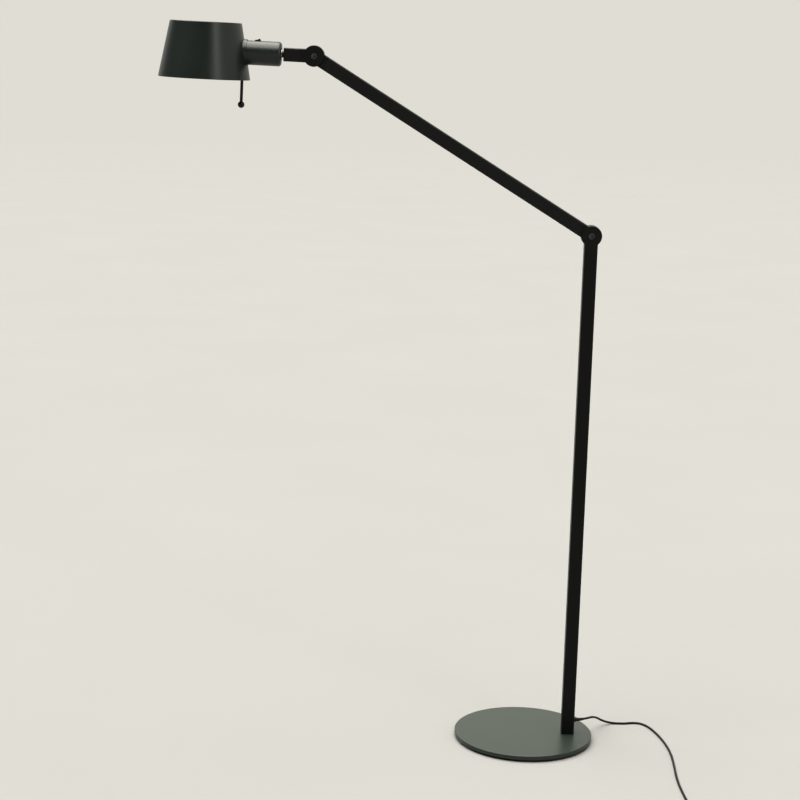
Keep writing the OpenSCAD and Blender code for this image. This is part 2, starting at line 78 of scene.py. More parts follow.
class Finish:
    """The node tree of one material, or of the studio's surroundings."""

    def __init__(self, name):
        self.material = bpy.data.materials.new(name)
        self.material.use_nodes = True
        self.tree = self.material.node_tree
        self.shader = self.tree.nodes["Principled BSDF"]

    def math(self, operation, first, second):
        """Adds a Math node. Channels call it for their arithmetic."""
        return self.node("ShaderNodeMath", {"operation": operation}, {0: first, 1: second})

    def node(self, kind, settings=None, sockets=None, out=None):
        """Adds a node with its settings, then the values or links of its sockets."""
        made = self.tree.nodes.new(kind)
        for key, value in (settings or {}).items():
            setattr(made, key, value)
        for key, value in (sockets or {}).items():
            self.feed(made, key, value)
        usable = [s for s in made.outputs if s.enabled and out in (None, s.name)]
        return Channel(self, usable[0])

    def feed(self, node, key, value):
        """Sets or links a socket, given by its number or its name."""
        if isinstance(key, int):
            socket = node.inputs[key]
        else:
            socket = next(s for s in node.inputs if s.enabled and s.name == key)
        if isinstance(value, Channel):
            self.tree.links.new(value.socket, socket)
        elif socket.type == "RGBA":
            socket.default_value = (*value, 1)
        else:
            socket.default_value = value

    def surface(self, **values):
        """Sets the shader's own sockets; underscores in the names stand for spaces."""
        for key, value in values.items():
            self.feed(self.shader, key.replace("_", " ").title().replace("Ior", "IOR"), value)

    def grain(self, scale, detail=2.0, stretch=(1, 1, 1)):
        """Soft random mottling with about scale spots to the metre, from 0 to 1."""
        place = self.node("ShaderNodeTexCoord", out="Object")
        if stretch != (1, 1, 1):
            place = self.node("ShaderNodeMapping", None, {"Vector": place, "Scale": stretch})
        spots = {"Vector": place, "Scale": scale, "Detail": detail, "Roughness": 0.55}
        return self.node("ShaderNodeTexNoise", None, spots, "Fac")

    def blend(self, factor, low, high):
        """Colour between low and high."""
        sides = {"Factor": factor, "A": low, "B": high}
        return self.node("ShaderNodeMix", {"data_type": "RGBA"}, sides)

    def rise(self, value, start, end):
        """Smooth step from 0 at start to 1 at end."""
        ends = {"Value": value, "From Min": start, "From Max": end}
        return self.node("ShaderNodeMapRange", {"interpolation_type": "SMOOTHSTEP"}, ends)

    def relief(self, height, depth):
        """Sets the surface's small bumps, depth metres deep."""
        bumps = {"Height": height, "Distance": depth}
        self.surface(normal=self.node("ShaderNodeBump", None, bumps))


def ring_of(outline, z, place):
    """The points (x, y) of outline at height z of a place."""
    return [place @ Vector((x, y, z)) for x, y in outline]


def circle(radius, sides=128):
    """Round outline about the origin."""
    steps = [2 * pi * k / sides for k in range(sides)]
    return [(radius * cos(a), radius * sin(a)) for a in steps]


def lofted(name, rings, closed=False):
    """Skin through rings of equally many points. An open run is capped at both ends."""
    count = len(rings[0])
    vertices = [point for ring in rings for point in ring]
    faces = []
    for i in range(len(rings) if closed else len(rings) - 1):
        low = i * count
        high = (i + 1) % len(rings) * count
        for k in range(count):
            after = (k + 1) % count
            faces.append((low + k, low + after, high + after, high + k))
    if not closed:
        faces.append(tuple(reversed(range(count))))
        faces.append(tuple(range(len(vertices) - count, len(vertices))))
    return skin(name, vertices, faces)


def skin(name, vertices, faces):
    """Mesh object with its faces turned outwards and its round faces shaded smoothly."""
    sharp_from = radians(32)
    mesh = bpy.data.meshes.new(name)
    mesh.from_pydata(vertices, [], faces)
    shape = bmesh.new()
    shape.from_mesh(mesh)
    bmesh.ops.recalc_face_normals(shape, faces=shape.faces)
    shape.to_mesh(mesh)
    shape.free()
    mesh.shade_smooth()
    mesh.set_sharp_from_angle(angle=sharp_from)
    made = bpy.data.objects.new(name, mesh)
    bpy.context.scene.collection.objects.link(made)
    weighted = made.modifiers.new("even_shading", "WEIGHTED_NORMAL")
    weighted.keep_sharp = True
    return made


def turned(name, outline, place, closed=False, sides=128):
    """Turned piece: outline holds (radius, height) along the place's Z."""
    rings = [ring_of(circle(radius, sides), height, place) for radius, height in outline]
    return lofted(name, rings, closed)


def rounded(corners, closed=False, steps=6):
    """Outline through corners (x, y, radius), each corner turned with its radius."""
    line = []
    for i, (x, y, radius) in enumerate(corners):
        if radius == 0 or (not closed and i in (0, len(corners) - 1)):
            line.append((x, y))
            continue
        here = Vector((x, y))
        before = (Vector(corners[i - 1][:2]) - here).normalized()
        after = (Vector(corners[(i + 1) % len(corners)][:2]) - here).normalized()
        half = before.angle(after) / 2
        middle = here + (before + after).normalized() * radius / sin(half)
        start = here + before * radius / tan(half) - middle
        end = here + after * radius / tan(half) - middle
        turn = start.angle_signed(end)
        for k in range(steps + 1):
            spoke = start.copy()
            spoke.rotate(Matrix.Rotation(-turn * k / steps, 2))
            line.append(tuple(middle + spoke))
    return line


def fitted(piece, finish, body, slot, *nodes):
    """Gives a piece its finish, its body and the CAD nodes that it stands for."""
    piece.data.materials.append(finish.material)
    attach(piece, body)
    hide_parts(*nodes)
    return piece


def foam():
    """Black foam with open cut cells."""
    finish = Finish("closed_cell_foam")
    cells = finish.node("ShaderNodeTexVoronoi", None, {"Scale": 1500.0}, "Distance")
    finish.surface(base_color=finish.blend(cells, (0.006, 0.006, 0.006), (0.022, 0.022, 0.021)))
    finish.surface(roughness=0.78 + 0.16 * cells, specular_ior_level=0.3)
    finish.relief(cells, 0.25 * MM)
    return finish


ORIGIN = Matrix.Identity(4)
disc_flat = 20 * MM              # inside this radius a disc's faces are one flat piece
pad_low, pad_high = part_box("base_pad")
pad_low_edge = 0.9 * MM
pad_high_edge = 0.3 * MM
pad_outline = rounded([
    (disc_flat, pad_low.z, 0),
    (pad_high.x, pad_low.z, pad_low_edge),
    (pad_high.x, pad_high.z, pad_high_edge),
    (disc_flat, pad_high.z, 0),
])
pad = turned("foam_pad", pad_outline, ORIGIN)
fitted(pad, foam(), "base", "foam_pad", "base_pad")

# ---------------------------------------------------------------- base plate
# A 10 mm steel disc, turned with a small radius on both edges and powder coated with the
# rest of the lamp. The coating is satin, with a fine orange-peel texture.


def powder_coat(name, deep, light, roughness, gloss=0.5, peel=1.0):
    """Dark green powder coat with fine orange peel and faint clouds."""
    finish = Finish(name)
    clouds = finish.grain(11.0, 3.0)
    peel_grain = finish.grain(1300.0, 1.5)
    finish.surface(base_color=finish.blend(clouds, deep, light))
    uneven = 0.07 * (peel_grain - 0.5) + 0.10 * (clouds - 0.5)
    finish.surface(roughness=roughness + uneven, specular_ior_level=gloss)
    finish.relief(peel_grain + 0.6 * finish.grain(420.0, 1.0), 0.05 * MM * peel)
    return finish


plate_low, plate_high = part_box("base_plate")
plate_edge = 0.9 * MM
plate_outline = rounded([
    (disc_flat, plate_low.z, 0),
    (plate_high.x, plate_low.z, plate_edge),
    (plate_high.x, plate_high.z, plate_edge),
    (disc_flat, plate_high.z, 0),
])
plate = turned("base_disc", plate_outline, ORIGIN, sides=192)
# The lamp's one coat, painted several times lighter here than on the tubes: a painted reflection of
# the bright surroundings on the plate's top.
plate_coat_lit_copy = powder_coat("plate_powder_coat_lit_copy", (0.014, 0.021, 0.017), (0.020, 0.029, 0.023),
                         roughness=0.36, gloss=0.55)
fitted(plate, plate_coat_lit_copy, "base", "plate_paint", "base_plate")

# ---------------------------------------------------------------- fixing of the pole
# An M10 bolt comes up through the plate into a threaded steel foot inside the tube, and a
# dowel keeps the tube from turning. All of it is bright zinc-plated stock.


def plated_steel(name, colour, roughness, lines):
    """Drawn or turned bright metal with fine lines and slight stains."""
    finish = Finish(name)
    along_the_bar = (1, 1, 0.06)
    drawn = finish.grain(lines, 3.0, along_the_bar)
    stains = finish.grain(60.0, 3.0)
    dull = tuple(0.82 * part for part in colour)
    finish.surface(base_color=finish.blend(stains, dull, colour), metallic=1.0)
    finish.surface(roughness=roughness + 0.12 * (drawn - 0.5) + 0.10 * (stains - 0.5))
    finish.relief(drawn, 0.01 * MM)
    return finish


def coat_node(name, finish):
    """Gives a carried CAD node its finish."""
    for held in frame["nodes"][name].material_slots:
        held.material = finish.material


zinc = plated_steel("bright_zinc", (0.60, 0.61, 0.60), roughness=0.34, lines=2400.0)
for zinc_part in ("pole_bolt", "pole_washer", "pole_dowel", "pole_foot"):
    coat_node(zinc_part, zinc)

# ---------------------------------------------------------------- pole tube
# Square steel tube, 30 mm with a 1.5 mm wall and rolled corners, sawn square and eased at
# both ends, so that a hairline shows where it meets the joint's casting.


def square(width, radius, steps=6):
    """Square outline with round corners."""
    reach = sqrt(2) * (width / 2 - radius)
    line = []
    for quarter in range(4):
        diagonal = (quarter + 0.5) * pi / 2
        for k in range(steps + 1):
            angle = (quarter + k / steps) * pi / 2
            line.append((reach * cos(diagonal) + radius * cos(angle),
                         reach * sin(diagonal) + radius * sin(angle)))
    return line


def square_tube(name, place, start, end, width):
    """Hollow square tube between two heights of a place."""
    corner = 3.6 * MM
    wall = 1.5 * MM
    ease = 0.35 * MM
    outside = square(width, corner)
    eased = square(width - 2 * ease, corner - ease)
    bore = square(width - 2 * wall, corner - wall)
    rings = [
        ring_of(eased, start, place),
        ring_of(outside, start + ease, place),
        ring_of(outside, end - ease, place),
        ring_of(eased, end, place),
        ring_of(bore, end, place),
        ring_of(bore, start, place),
    ]
    return lofted(name, rings, closed=True)


pole_low, pole_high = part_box("pole_tube")
tube_width = pole_high.x - pole_low.x
pole_x = (pole_low.x + pole_high.x) / 2
# The lamp's one coat, painted darker here than on the plate and head: painted shade for the dim
# light that falls on the pole.
pole_coat_shaded_copy = powder_coat("pole_powder_coat_shaded_copy", (0.0024, 0.0032, 0.0026), (0.0040, 0.0050, 0.0040),
                        roughness=0.38, gloss=0.22)
pole = square_tube("pole_square_tube", Matrix.Translation((pole_x, 0, 0)), pole_low.z,
                   pole_high.z, tube_width)
fitted(pole, pole_coat_shaded_copy, "base", "green_paint", "pole_tube")

# ---------------------------------------------------------------- mains cord
# A round 5 mm PVC lead, 2 m long. It leaves the pole through a nylon gland and a rubber boot,
# drops to the floor in a loose curve, and its spare length is wound into a coil with a tie.


def between(a, b, c, d, t):
    """Point between b and c on the smooth curve through a, b, c and d."""
    return 0.5 * (2 * b + (c - a) * t + (2 * a - 5 * b + 4 * c - d) * t * t
                  + (3 * b - a - 3 * c + d) * t * t * t)


def smooth(route, steps):
    """Closely spaced points on a smooth curve through the route's points."""
    points = [Vector(point) for point in route]
    last = len(points) - 1
    line = []
    for i in range(last):
        around = [points[max(i - 1, 0)], points[i], points[i + 1], points[min(i + 2, last)]]
        line += [between(*around, k / steps) for k in range(steps)]
    return line + [points[last]]


def swept(name, line, radii, sides=20):
    """Round skin along a line, with a radius for each of its points."""
    up = Vector((0, 0, 1))
    rings = []
    for i, point in enumerate(line):
        along = (line[min(i + 1, len(line) - 1)] - line[max(i - 1, 0)]).normalized()
        aside = along.cross(up).normalized()
        above = aside.cross(along)
        rings.append([point + radii[i] * (x * aside + y * above)
                      for x, y in circle(1, sides)])
    return lofted(name, rings)


def pvc_sheath(name, tone, roughness):
    """Dull black extruded PVC, a little wiped and pitted."""
    finish = Finish(name)
    wipes = finish.grain(90.0, 4.0)
    pits = finish.grain(2600.0, 2.0)
    finish.surface(base_color=finish.blend(wipes, (tone * 0.7,) * 3, (tone * 1.3,) * 3))
    finish.surface(roughness=roughness + 0.14 * (wipes - 0.5), specular_ior_level=0.22)
    finish.relief(pits, 0.02 * MM)
    return finish


cord_radius = 2.5 * MM
cord_exit = (0.143, 0.0045, 0.048)
cord_route = [
    cord_exit, (0.150, 0.009, 0.0478), (0.157, 0.0155, 0.047), (0.164, 0.0245, 0.0453),
    (0.170, 0.0345, 0.0423), (0.176, 0.046, 0.0375), (0.1835, 0.062, 0.030),
    (0.192, 0.079, 0.0205), (0.202, 0.092, 0.012), (0.214, 0.100, 0.006),
    (0.228, 0.103, 0.003), (0.243, 0.103, 0.0026), (0.257, 0.104, 0.0026),
    (0.271, 0.108, 0.0026), (0.286, 0.1085, 0.0026), (0.300, 0.101, 0.0026),
    (0.312, 0.082, 0.0026), (0.322, 0.054, 0.0026), (0.331, 0.018, 0.0026),
    (0.338, -0.023, 0.0026), (0.342, -0.064, 0.0026), (0.343, -0.108, 0.0026),
    (0.341, -0.162, 0.0026), (0.338, -0.215, 0.0026), (0.337, -0.270, 0.0026),
    (0.339, -0.322, 0.0026), (0.342, -0.372, 0.0028), (0.343, -0.420, 0.0035),
]
tail_route = [(0.294, -0.4865, 0.0035), (0.284, -0.487, 0.0042), (0.276, -0.487, 0.0058),
              (0.268, -0.487, 0.007)]
coil_centre = Vector((0.308, -0.446, 0))
coil_rest = 3.5 * MM             # height of the lowest turns, which lie on the tie
turn_radii = [35 * MM, 30 * MM, 25 * MM, 27.5 * MM, 32.5 * MM, 30 * MM]
coil_way_out = 40.5 * MM         # radius at which the last quarter turn leaves the coil
shift_start = 0.55               # share of a turn after which it moves over to the next radius
steps_a_turn = 36


def eased(t):
    """Smooth step from 0 to 1."""
    t = min(max(t, 0.0), 1.0)
    return t * t * (3 - 2 * t)


def coil_radius(step):
    """Radius of the coil's line: each turn keeps its own, and shifts over at its end."""
    turn, part = divmod(step, steps_a_turn)
    if turn == len(turn_radii):
        quarter = 4 * part / steps_a_turn
        return turn_radii[-1] + (coil_way_out - turn_radii[-1]) * eased(quarter)
    if turn == len(turn_radii) - 1:
        return turn_radii[-1]
    shift = eased((part / steps_a_turn - shift_start) / (1 - shift_start))
    return turn_radii[turn] + (turn_radii[turn + 1] - turn_radii[turn]) * shift


def wound_coil():
    """Turns laid one after another, each resting on what lies below it at that angle."""
    total = len(turn_radii) * steps_a_turn + steps_a_turn // 4
    radii = [coil_radius(step) for step in range(total + 1)]
    heights = []
    for step, radius in enumerate(radii):
        height = coil_rest
        for earlier in range(step % steps_a_turn, step, steps_a_turn):
            gap = abs(radius - radii[earlier])
            if gap < 2 * cord_radius:
                rise = sqrt(4 * cord_radius ** 2 - gap ** 2)
                height = max(height, heights[earlier] + rise)
        heights.append(height)
    line = []
    for step, radius in enumerate(radii):
        angle = -2 * pi * step / steps_a_turn
        near = heights[max(step - 2, 0):step + 3]
        height = max(heights[step], sum(near) / len(near))
        line.append(coil_centre + Vector((radius * cos(angle), radius * sin(angle), height)))
    return line


cord_line = smooth(cord_route, 4) + wound_coil()[:-1] + smooth(tail_route, 4)
cord_length = sum((b - a).length for a, b in zip(cord_line, cord_line[1:]))
cord = swept("mains_lead", cord_line, [cord_radius] * len(cord_line))
sheath = pvc_sheath("black_pvc_sheath", tone=0.004, roughness=0.46)
fitted(cord, sheath, "base", "cord_rubber", "mains_cord", "cord_coil", "cord_tail")

# ---------------------------------------------------------------- gland and boot
# A black nylon gland with a flange clamps the lead in the tube's wall. A soft moulded boot,
# ribbed so that it bends, tapers from the gland to the lead.


def moulded_black(name, tone, roughness, texture=0.03):
    """Black injection moulded plastic with a fine spark-eroded texture."""
    finish = Finish(name)
    texture_grain = finish.grain(1900.0, 2.0)
    wear = finish.grain(45.0, 3.0)
    finish.surface(base_color=finish.blend(wear, (tone * 0.8,) * 3, (tone * 1.25,) * 3))
    finish.surface(roughness=roughness + 0.12 * (wear - 0.5) + 0.08 * (texture_grain - 0.5))
    finish.surface(specular_ior_level=0.3)
    finish.relief(texture_grain, texture * MM)
    return finish


def facing(origin, along, side):
    """Frame at origin whose Z runs along a direction and whose X lies towards side."""
    z = Vector(along).normalized()
    y = z.cross(Vector(side)).normalized()
    x = y.cross(z)
    return Matrix.Translation(origin) @ Matrix((x, y, z)).transposed().to_4x4()


gland_low, gland_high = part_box("cord_gland")
gland_z = (gland_low.z + gland_high.z) / 2
pole_face = pole_high.x
gland_place = facing((pole_face, 0, gland_z), (1, 0, 0), (0, 0, 1))
thread_radius = 4 * MM
flange_radius = 6 * MM
flange_end = 3.5 * MM
nose_radius = 5 * MM
nose_end = 5 * MM
mouth_radius = 3 * MM
gland_outline = rounded([
    (thread_radius, gland_low.x - pole_face, 0),
    (thread_radius, 0, 0),
    (flange_radius, 0, 0.2 * MM),
    (flange_radius, flange_end, 0.5 * MM),
    (nose_radius, nose_end, 0.4 * MM),
    (mouth_radius, nose_end, 0),
])
black_nylon = moulded_black("black_nylon", tone=0.007, roughness=0.42)
gland = turned("gland_body", gland_outline, gland_place, sides=64)
fitted(gland, black_nylon, "base", "black_plastic", "cord_gland")
coat_node("gland_nut", black_nylon)

boot_route = [(0.126, 0, 0.048), (0.132, 0.0004, 0.048), (0.138, 0.002, 0.048), cord_exit]
boot_line = smooth(boot_route, 8)
boot_ribs = 5
rib_depth = 0.35 * MM
boot_root = 4.5 * MM
boot_tip = 3 * MM
boot_radii = []
for boot_step in range(len(boot_line)):
    boot_share = boot_step / (len(boot_line) - 1)
    groove = 0.5 - 0.5 * cos(2 * pi * boot_ribs * boot_share)
    taper = boot_root + (boot_tip - boot_root) * boot_share
    boot_radii.append(taper - rib_depth * groove * (1 - boot_share))
boot = swept("ribbed_boot", boot_line, boot_radii, 32)
boot_rubber = pvc_sheath("soft_boot_rubber", tone=0.008, roughness=0.5)
fitted(boot, boot_rubber, "base", "cord_rubber", "strain_relief")

# ---------------------------------------------------------------- tie and plug
# A hook-and-loop strap holds the coil. The plug is a flat two-pin one, moulded onto the lead
# in black PVC with ribbed grips, its pins of nickel-plated brass with black sleeves.


def strap_weave():
    """Black hook-and-loop tape with fuzzy loops."""
    finish = Finish("hook_and_loop")
    loops = finish.grain(2300.0, 3.0)
    finish.surface(base_color=finish.blend(loops, (0.008,) * 3, (0.035,) * 3))
    finish.surface(roughness=0.85 + 0.1 * (loops - 0.5), sheen_weight=0.5)
    finish.relief(loops, 0.2 * MM)
    return finish


strap_width = 5 * MM
strap_thick = 0.8 * MM
strap_edge = 0.25 * MM
strap_bend_steps = 8             # steps of the strap's bend round each corner of the pile
tie_angle = radians(150)
tie_outward = Vector((cos(tie_angle), sin(tie_angle), 0))
tie_along = Vector((-sin(tie_angle), cos(tie_angle), 0))
pile_rise = sqrt(3) * cord_radius
pile_corners = [                 # distance from the coil's middle, height, direction
    (25 * MM, coil_rest, -150),
    (35 * MM, coil_rest, -30),
    (30 * MM, coil_rest + 2 * pile_rise, 90),
]
strap_rings = []
for reach, height, toward in pile_corners:
    for k in range(strap_bend_steps + 1):
        spoke = radians(toward - 60 + 120 * k / strap_bend_steps)
        normal = tie_outward * cos(spoke) + Vector((0, 0, sin(spoke)))
        middle = coil_centre + tie_outward * reach + Vector((0, 0, height))
        middle += normal * (cord_radius + strap_thick / 2)
        section = rounded([
            (-strap_width / 2, -strap_thick / 2, strap_edge),
            (strap_width / 2, -strap_thick / 2, strap_edge),
            (strap_width / 2, strap_thick / 2, strap_edge),
            (-strap_width / 2, strap_thick / 2, strap_edge),
        ], closed=True, steps=2)
        strap_rings.append([middle + tie_along * x + normal * y for x, y in section])
strap = lofted("coil_strap", strap_rings, closed=True)
fitted(strap, strap_weave(), "base", "tie_strap", "cord_tie")

plug_low, plug_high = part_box("plug_body")
plug_middle = (plug_low + plug_high) / 2
plug_place = facing((plug_high.x, plug_middle.y, plug_middle.z), (-1, 0, 0), (0, 1, 0))
plug_wide = plug_high.y - plug_low.y
plug_thick = plug_high.z - plug_low.z
plug_length = plug_high.x - plug_low.x


def oval(wide, high, sides=96):
    """Flat-sided outline with round ends, wide along X."""
    reach = (wide - high) / 2
    on_axis = 1e-9
    points = []
    for x, y in circle(high / 2, sides):
        if abs(x) > on_axis:
            x += reach if x > 0 else -reach
        points.append((x, y))
    return points


plug_sections = []               # distance from the lead's end, width, thickness
nose_steps = 16
nose_ribs = 5
for k in range(nose_steps + 1):
    share = k / nose_steps
    groove = 0.5 * (1 - cos(2 * pi * nose_ribs * share)) / 2 * (1 - share)
    nose = (6 + 4 * share - groove) * MM
    plug_sections.append((15 * share * MM, nose, nose))
body_start = 16 * MM
for along, wide_share, thick_share in (
    (0, 0.55, 0.75), (0.6, 0.72, 0.88), (2.2, 0.84, 0.96), (5, 0.90, 1.0), (9, 0.95, 1.0),
):
    plug_sections.append((body_start + along * MM, plug_wide * wide_share,
                          plug_thick * thick_share))
grip_start = 11
grip_pitch = 0.9
grip_wide = 0.96 * plug_wide
for k in range(12):
    notch = 0.6 * MM * (k % 2)
    plug_sections.append((body_start + (grip_start + grip_pitch * k) * MM, grip_wide - notch,
                          plug_thick - notch))
for from_end, inset in ((9.0, 0.6), (2.0, 0.1), (0.9, 0.0), (0.3, 0.5), (0.0, 1.2)):
    plug_sections.append((plug_length - from_end * MM, plug_wide - inset * MM,
                          plug_thick - inset * MM))
plug = lofted("plug_moulding", [ring_of(oval(wide, thick), along, plug_place)
                                for along, wide, thick in plug_sections])
plug_pvc = moulded_black("moulded_pvc", tone=0.014, roughness=0.45, texture=0.05)
fitted(plug, plug_pvc, "base", "plug_plastic", "plug_body")

pin_low, pin_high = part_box("plug_pins")
pin_radius = (pin_high.z - pin_low.z) / 2
pin_length = pin_high.x - pin_low.x
sleeve_end = 10 * MM
sleeve_radius = pin_radius - 0.1 * MM
nickel = plated_steel("nickel_plate", (0.66, 0.64, 0.60), roughness=0.2, lines=1800.0)
sleeve_black = moulded_black("pin_sleeve", tone=0.015, roughness=0.4)
pins = []
for side, pin_y in (("left", pin_low.y + pin_radius), ("right", pin_high.y - pin_radius)):
    pin_place = facing((pin_high.x, pin_y, plug_middle.z), (-1, 0, 0), (0, 1, 0))
    tip = [(pin_radius * cos(radians(a)), pin_length - pin_radius * (1 - sin(radians(a))))
           for a in range(0, 90, 10)]
    bare = turned(f"plug_pin_{side}", [(pin_radius, sleeve_end)] + tip, pin_place, sides=48)
    sleeve_outline = [(sleeve_radius, 0), (sleeve_radius, sleeve_end)]
    sleeve = turned(f"plug_pin_sleeve_{side}", sleeve_outline, pin_place, sides=48)
    fitted(bare, nickel, "base", "pin_chrome", "plug_pins")
    fitted(sleeve, sleeve_black, "base", "plug_plastic", "plug_pins")
    pins += [bare, sleeve]

# ---------------------------------------------------------------- castings of the joints
# Each joint is two cast halves lapped face to face: a disc with a short square neck that is
# pushed into the tube. They are coated with the tubes, so only a hairline parts them.

# The lamp's one coat, painted darker here than on the plate and head: painted shade, not a
# different paint.
casting_coat_shaded_copy = powder_coat("casting_powder_coat_shaded_copy", (0.0024, 0.0032, 0.0027),
                           (0.0038, 0.0049, 0.0041), roughness=0.40, gloss=0.26)
for casting in ("pole_knuckle", "arm_lower_knuckle", "arm_upper_knuckle", "link_knuckle"):
    coat_node(casting, casting_coat_shaded_copy)

# ---------------------------------------------------------------- joint bolts
# An M10 socket head screw, a spring washer and a nut squeeze two nylon friction rings between
# the halves. The screws and nuts are blackened steel and sit in round counterbores.


def hexagon(across, limit=1.0, sides=96):
    """Hexagon with that width across its flats, cut back to the radius limit."""
    line = []
    for k in range(sides):
        angle = 2 * pi * k / sides
        reach = min(across / 2 / cos(angle % (pi / 3) - pi / 6), limit)
        line.append((reach * cos(angle), reach * sin(angle)))
    return line


def blackened_steel(name, roughness=0.4):
    """Oiled black oxide on steel, a little blotchy."""
    finish = Finish(name)
    blotches = finish.grain(240.0, 3.0)
    finish.surface(base_color=finish.blend(blotches, (0.06,) * 3, (0.115, 0.112, 0.108)))
    finish.surface(roughness=roughness + 0.16 * (blotches - 0.5), metallic=1.0)
    finish.relief(blotches, 0.015 * MM)
    return finish


def socket_screw(name, place, head_top, seat, tip):
    """Socket head screw whose head points along the place's Z."""
    head = 8 * MM
    shank = 5 * MM
    point = 0.8 * MM
    across = 8 * MM
    countersink = 5.1 * MM
    outline = rounded([
        (shank - point, tip, 0),
        (shank, tip + point, 0.2 * MM),
        (shank, seat, 0),
        (head, seat, 0.3 * MM),
        (head, head_top, 0.9 * MM),
        (countersink, head_top, 0),
    ])
    rings = [ring_of(circle(radius, 96), height, place) for radius, height in outline]
    for socket_part, depth in (
        (hexagon(across), 0.35 * MM), (hexagon(across), 4.4 * MM), (circle(0.4 * MM, 96), 5.6 * MM),
    ):
        rings.append(ring_of(socket_part, head_top - depth, place))
    return lofted(name, rings)


def hex_nut(name, place, start, end):
    """Chamfered hexagon nut between two heights of a place."""
    across = 16 * MM
    bore = 5.08 * MM
    worn = 7.9 * MM
    chamfer = 0.6 * MM
    rings = [
        ring_of(circle(bore + chamfer, 96), start, place),
        ring_of(hexagon(across, worn), start, place),
        ring_of(hexagon(across), start + chamfer, place),
        ring_of(hexagon(across), end - chamfer, place),
        ring_of(hexagon(across, worn), end, place),
        ring_of(circle(bore + chamfer, 96), end, place),
        ring_of(circle(bore, 96), end - chamfer, place),
        ring_of(circle(bore, 96), start + chamfer, place),
    ]
    return lofted(name, rings, closed=True)


joints = {joint["name"]: joint for joint in frame["joints"]}
elbow = Vector(joints["elbow_hinge"]["pos_m"])
wrist = Vector(joints["wrist_hinge"]["pos_m"])
screw_seat = 6.8 * MM            # from the joint's middle to the underside of the screw's head
screw_black = blackened_steel("blackened_screw")
spring_grey = plated_steel("spring_steel", (0.42, 0.42, 0.41), roughness=0.36, lines=2000.0)
nylon_grey = moulded_black("grey_nylon", tone=0.11, roughness=0.5)
for joint, centre, body in (("elbow", elbow, "base"), ("wrist", wrist, "link")):
    bolt_low, bolt_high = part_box(f"{joint}_bolt")
    nut_low, nut_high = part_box(f"{joint}_nut")
    front = facing(centre, (0, -1, 0), (0, 0, 1))
    rear = facing(centre, (0, 1, 0), (0, 0, 1))
    screw = socket_screw(f"{joint}_socket_screw", front, -bolt_low.y, screw_seat, -bolt_high.y)
    fitted(screw, screw_black, body, "black_steel", f"{joint}_bolt")
    nut = hex_nut(f"{joint}_hex_nut", rear, nut_low.y, nut_high.y)
    fitted(nut, screw_black, body, "black_steel", f"{joint}_nut")
    coat_node(f"{joint}_spring_washer", spring_grey)
    coat_node(f"{joint}_friction_rings", nylon_grey)

# ---------------------------------------------------------------- arm and link tubes
# The same 30 mm square tube as the pole, a long piece for the arm and a short one for the
# link. The link ends in a thick steel plug whose outer edges are rounded.

# The lamp's one coat, painted darker here than on the plate and head: painted shade on the arm,
# link and swivel collar.
tube_coat_shaded_copy = powder_coat("arm_powder_coat_shaded_copy", (0.0024, 0.0032, 0.0027), (0.0038, 0.0049, 0.0041),
                        roughness=0.35, gloss=0.32)
neck = 30 * MM                   # from a joint's middle to the end of its tube
arm_way = wrist - elbow
arm_place = facing(elbow, arm_way, (0, 1, 0))
arm_end = arm_way.length - neck
arm = square_tube("arm_square_tube", arm_place, neck, arm_end, tube_width)
fitted(arm, tube_coat_shaded_copy, "arm", "green_paint", "arm_tube")

head_axis = Vector(joints["head_swivel"]["axis"])
along_head = facing(wrist, -head_axis, (0, 1, 0))
link_length = 67.6 * MM
link_plug = 3 * MM
link = square_tube("link_square_tube", along_head, neck, link_length - link_plug, tube_width)
fitted(link, tube_coat_shaded_copy, "link", "green_paint", "link_tube")


def round_hole(outline, radius):
    """Points on a circle, one in the direction of each of the outline's points."""
    spokes = [atan2(y, x) for x, y in outline]
    return [(radius * cos(a), radius * sin(a)) for a in spokes]


end_edge = 1.3 * MM
end_face = 6 * MM                # width of the end's flat face
end_corner = 3 * MM
end_bore = 5.1 * MM
plug_skin = rounded([            # distance inwards from the tube's faces, height
    (0, link_length - link_plug, 0),
    (0, link_length, end_edge),
    (end_face, link_length, 0),
])
hole = round_hole(square(tube_width, end_corner), end_bore)
end_rings = [ring_of(hole, link_length, along_head)]
for inset, height in reversed(plug_skin):
    corner = max(end_corner - inset, 0.8 * MM)
    end_rings.append(ring_of(square(tube_width - 2 * inset, corner), height, along_head))
spigot = square(tube_width - 3.1 * MM, 1.5 * MM)
spigot_end = link_length - 17.5 * MM
for outline, height in (
    (spigot, link_length - link_plug), (spigot, spigot_end),
    (round_hole(spigot, end_bore), spigot_end),
):
    end_rings.append(ring_of(outline, height, along_head))
link_end = lofted("link_end_plug", end_rings, closed=True)
fitted(link_end, tube_coat_shaded_copy, "link", "green_paint", "link_end")

# ---------------------------------------------------------------- inner cables
# The lead runs on inside the tubes as a round cable, then as two pairs of thin wires to the
# switch and the lampholder.

for cable in ("pole_cable", "arm_cable", "link_cable", "switch_wires"):
    coat_node(cable, sheath)

# ---------------------------------------------------------------- swivel
# A hollow nipple holds the head to the link. A painted spacer and a zinc washer show in the
# gap; a spring washer, a lock nut and a nylon bush are inside.

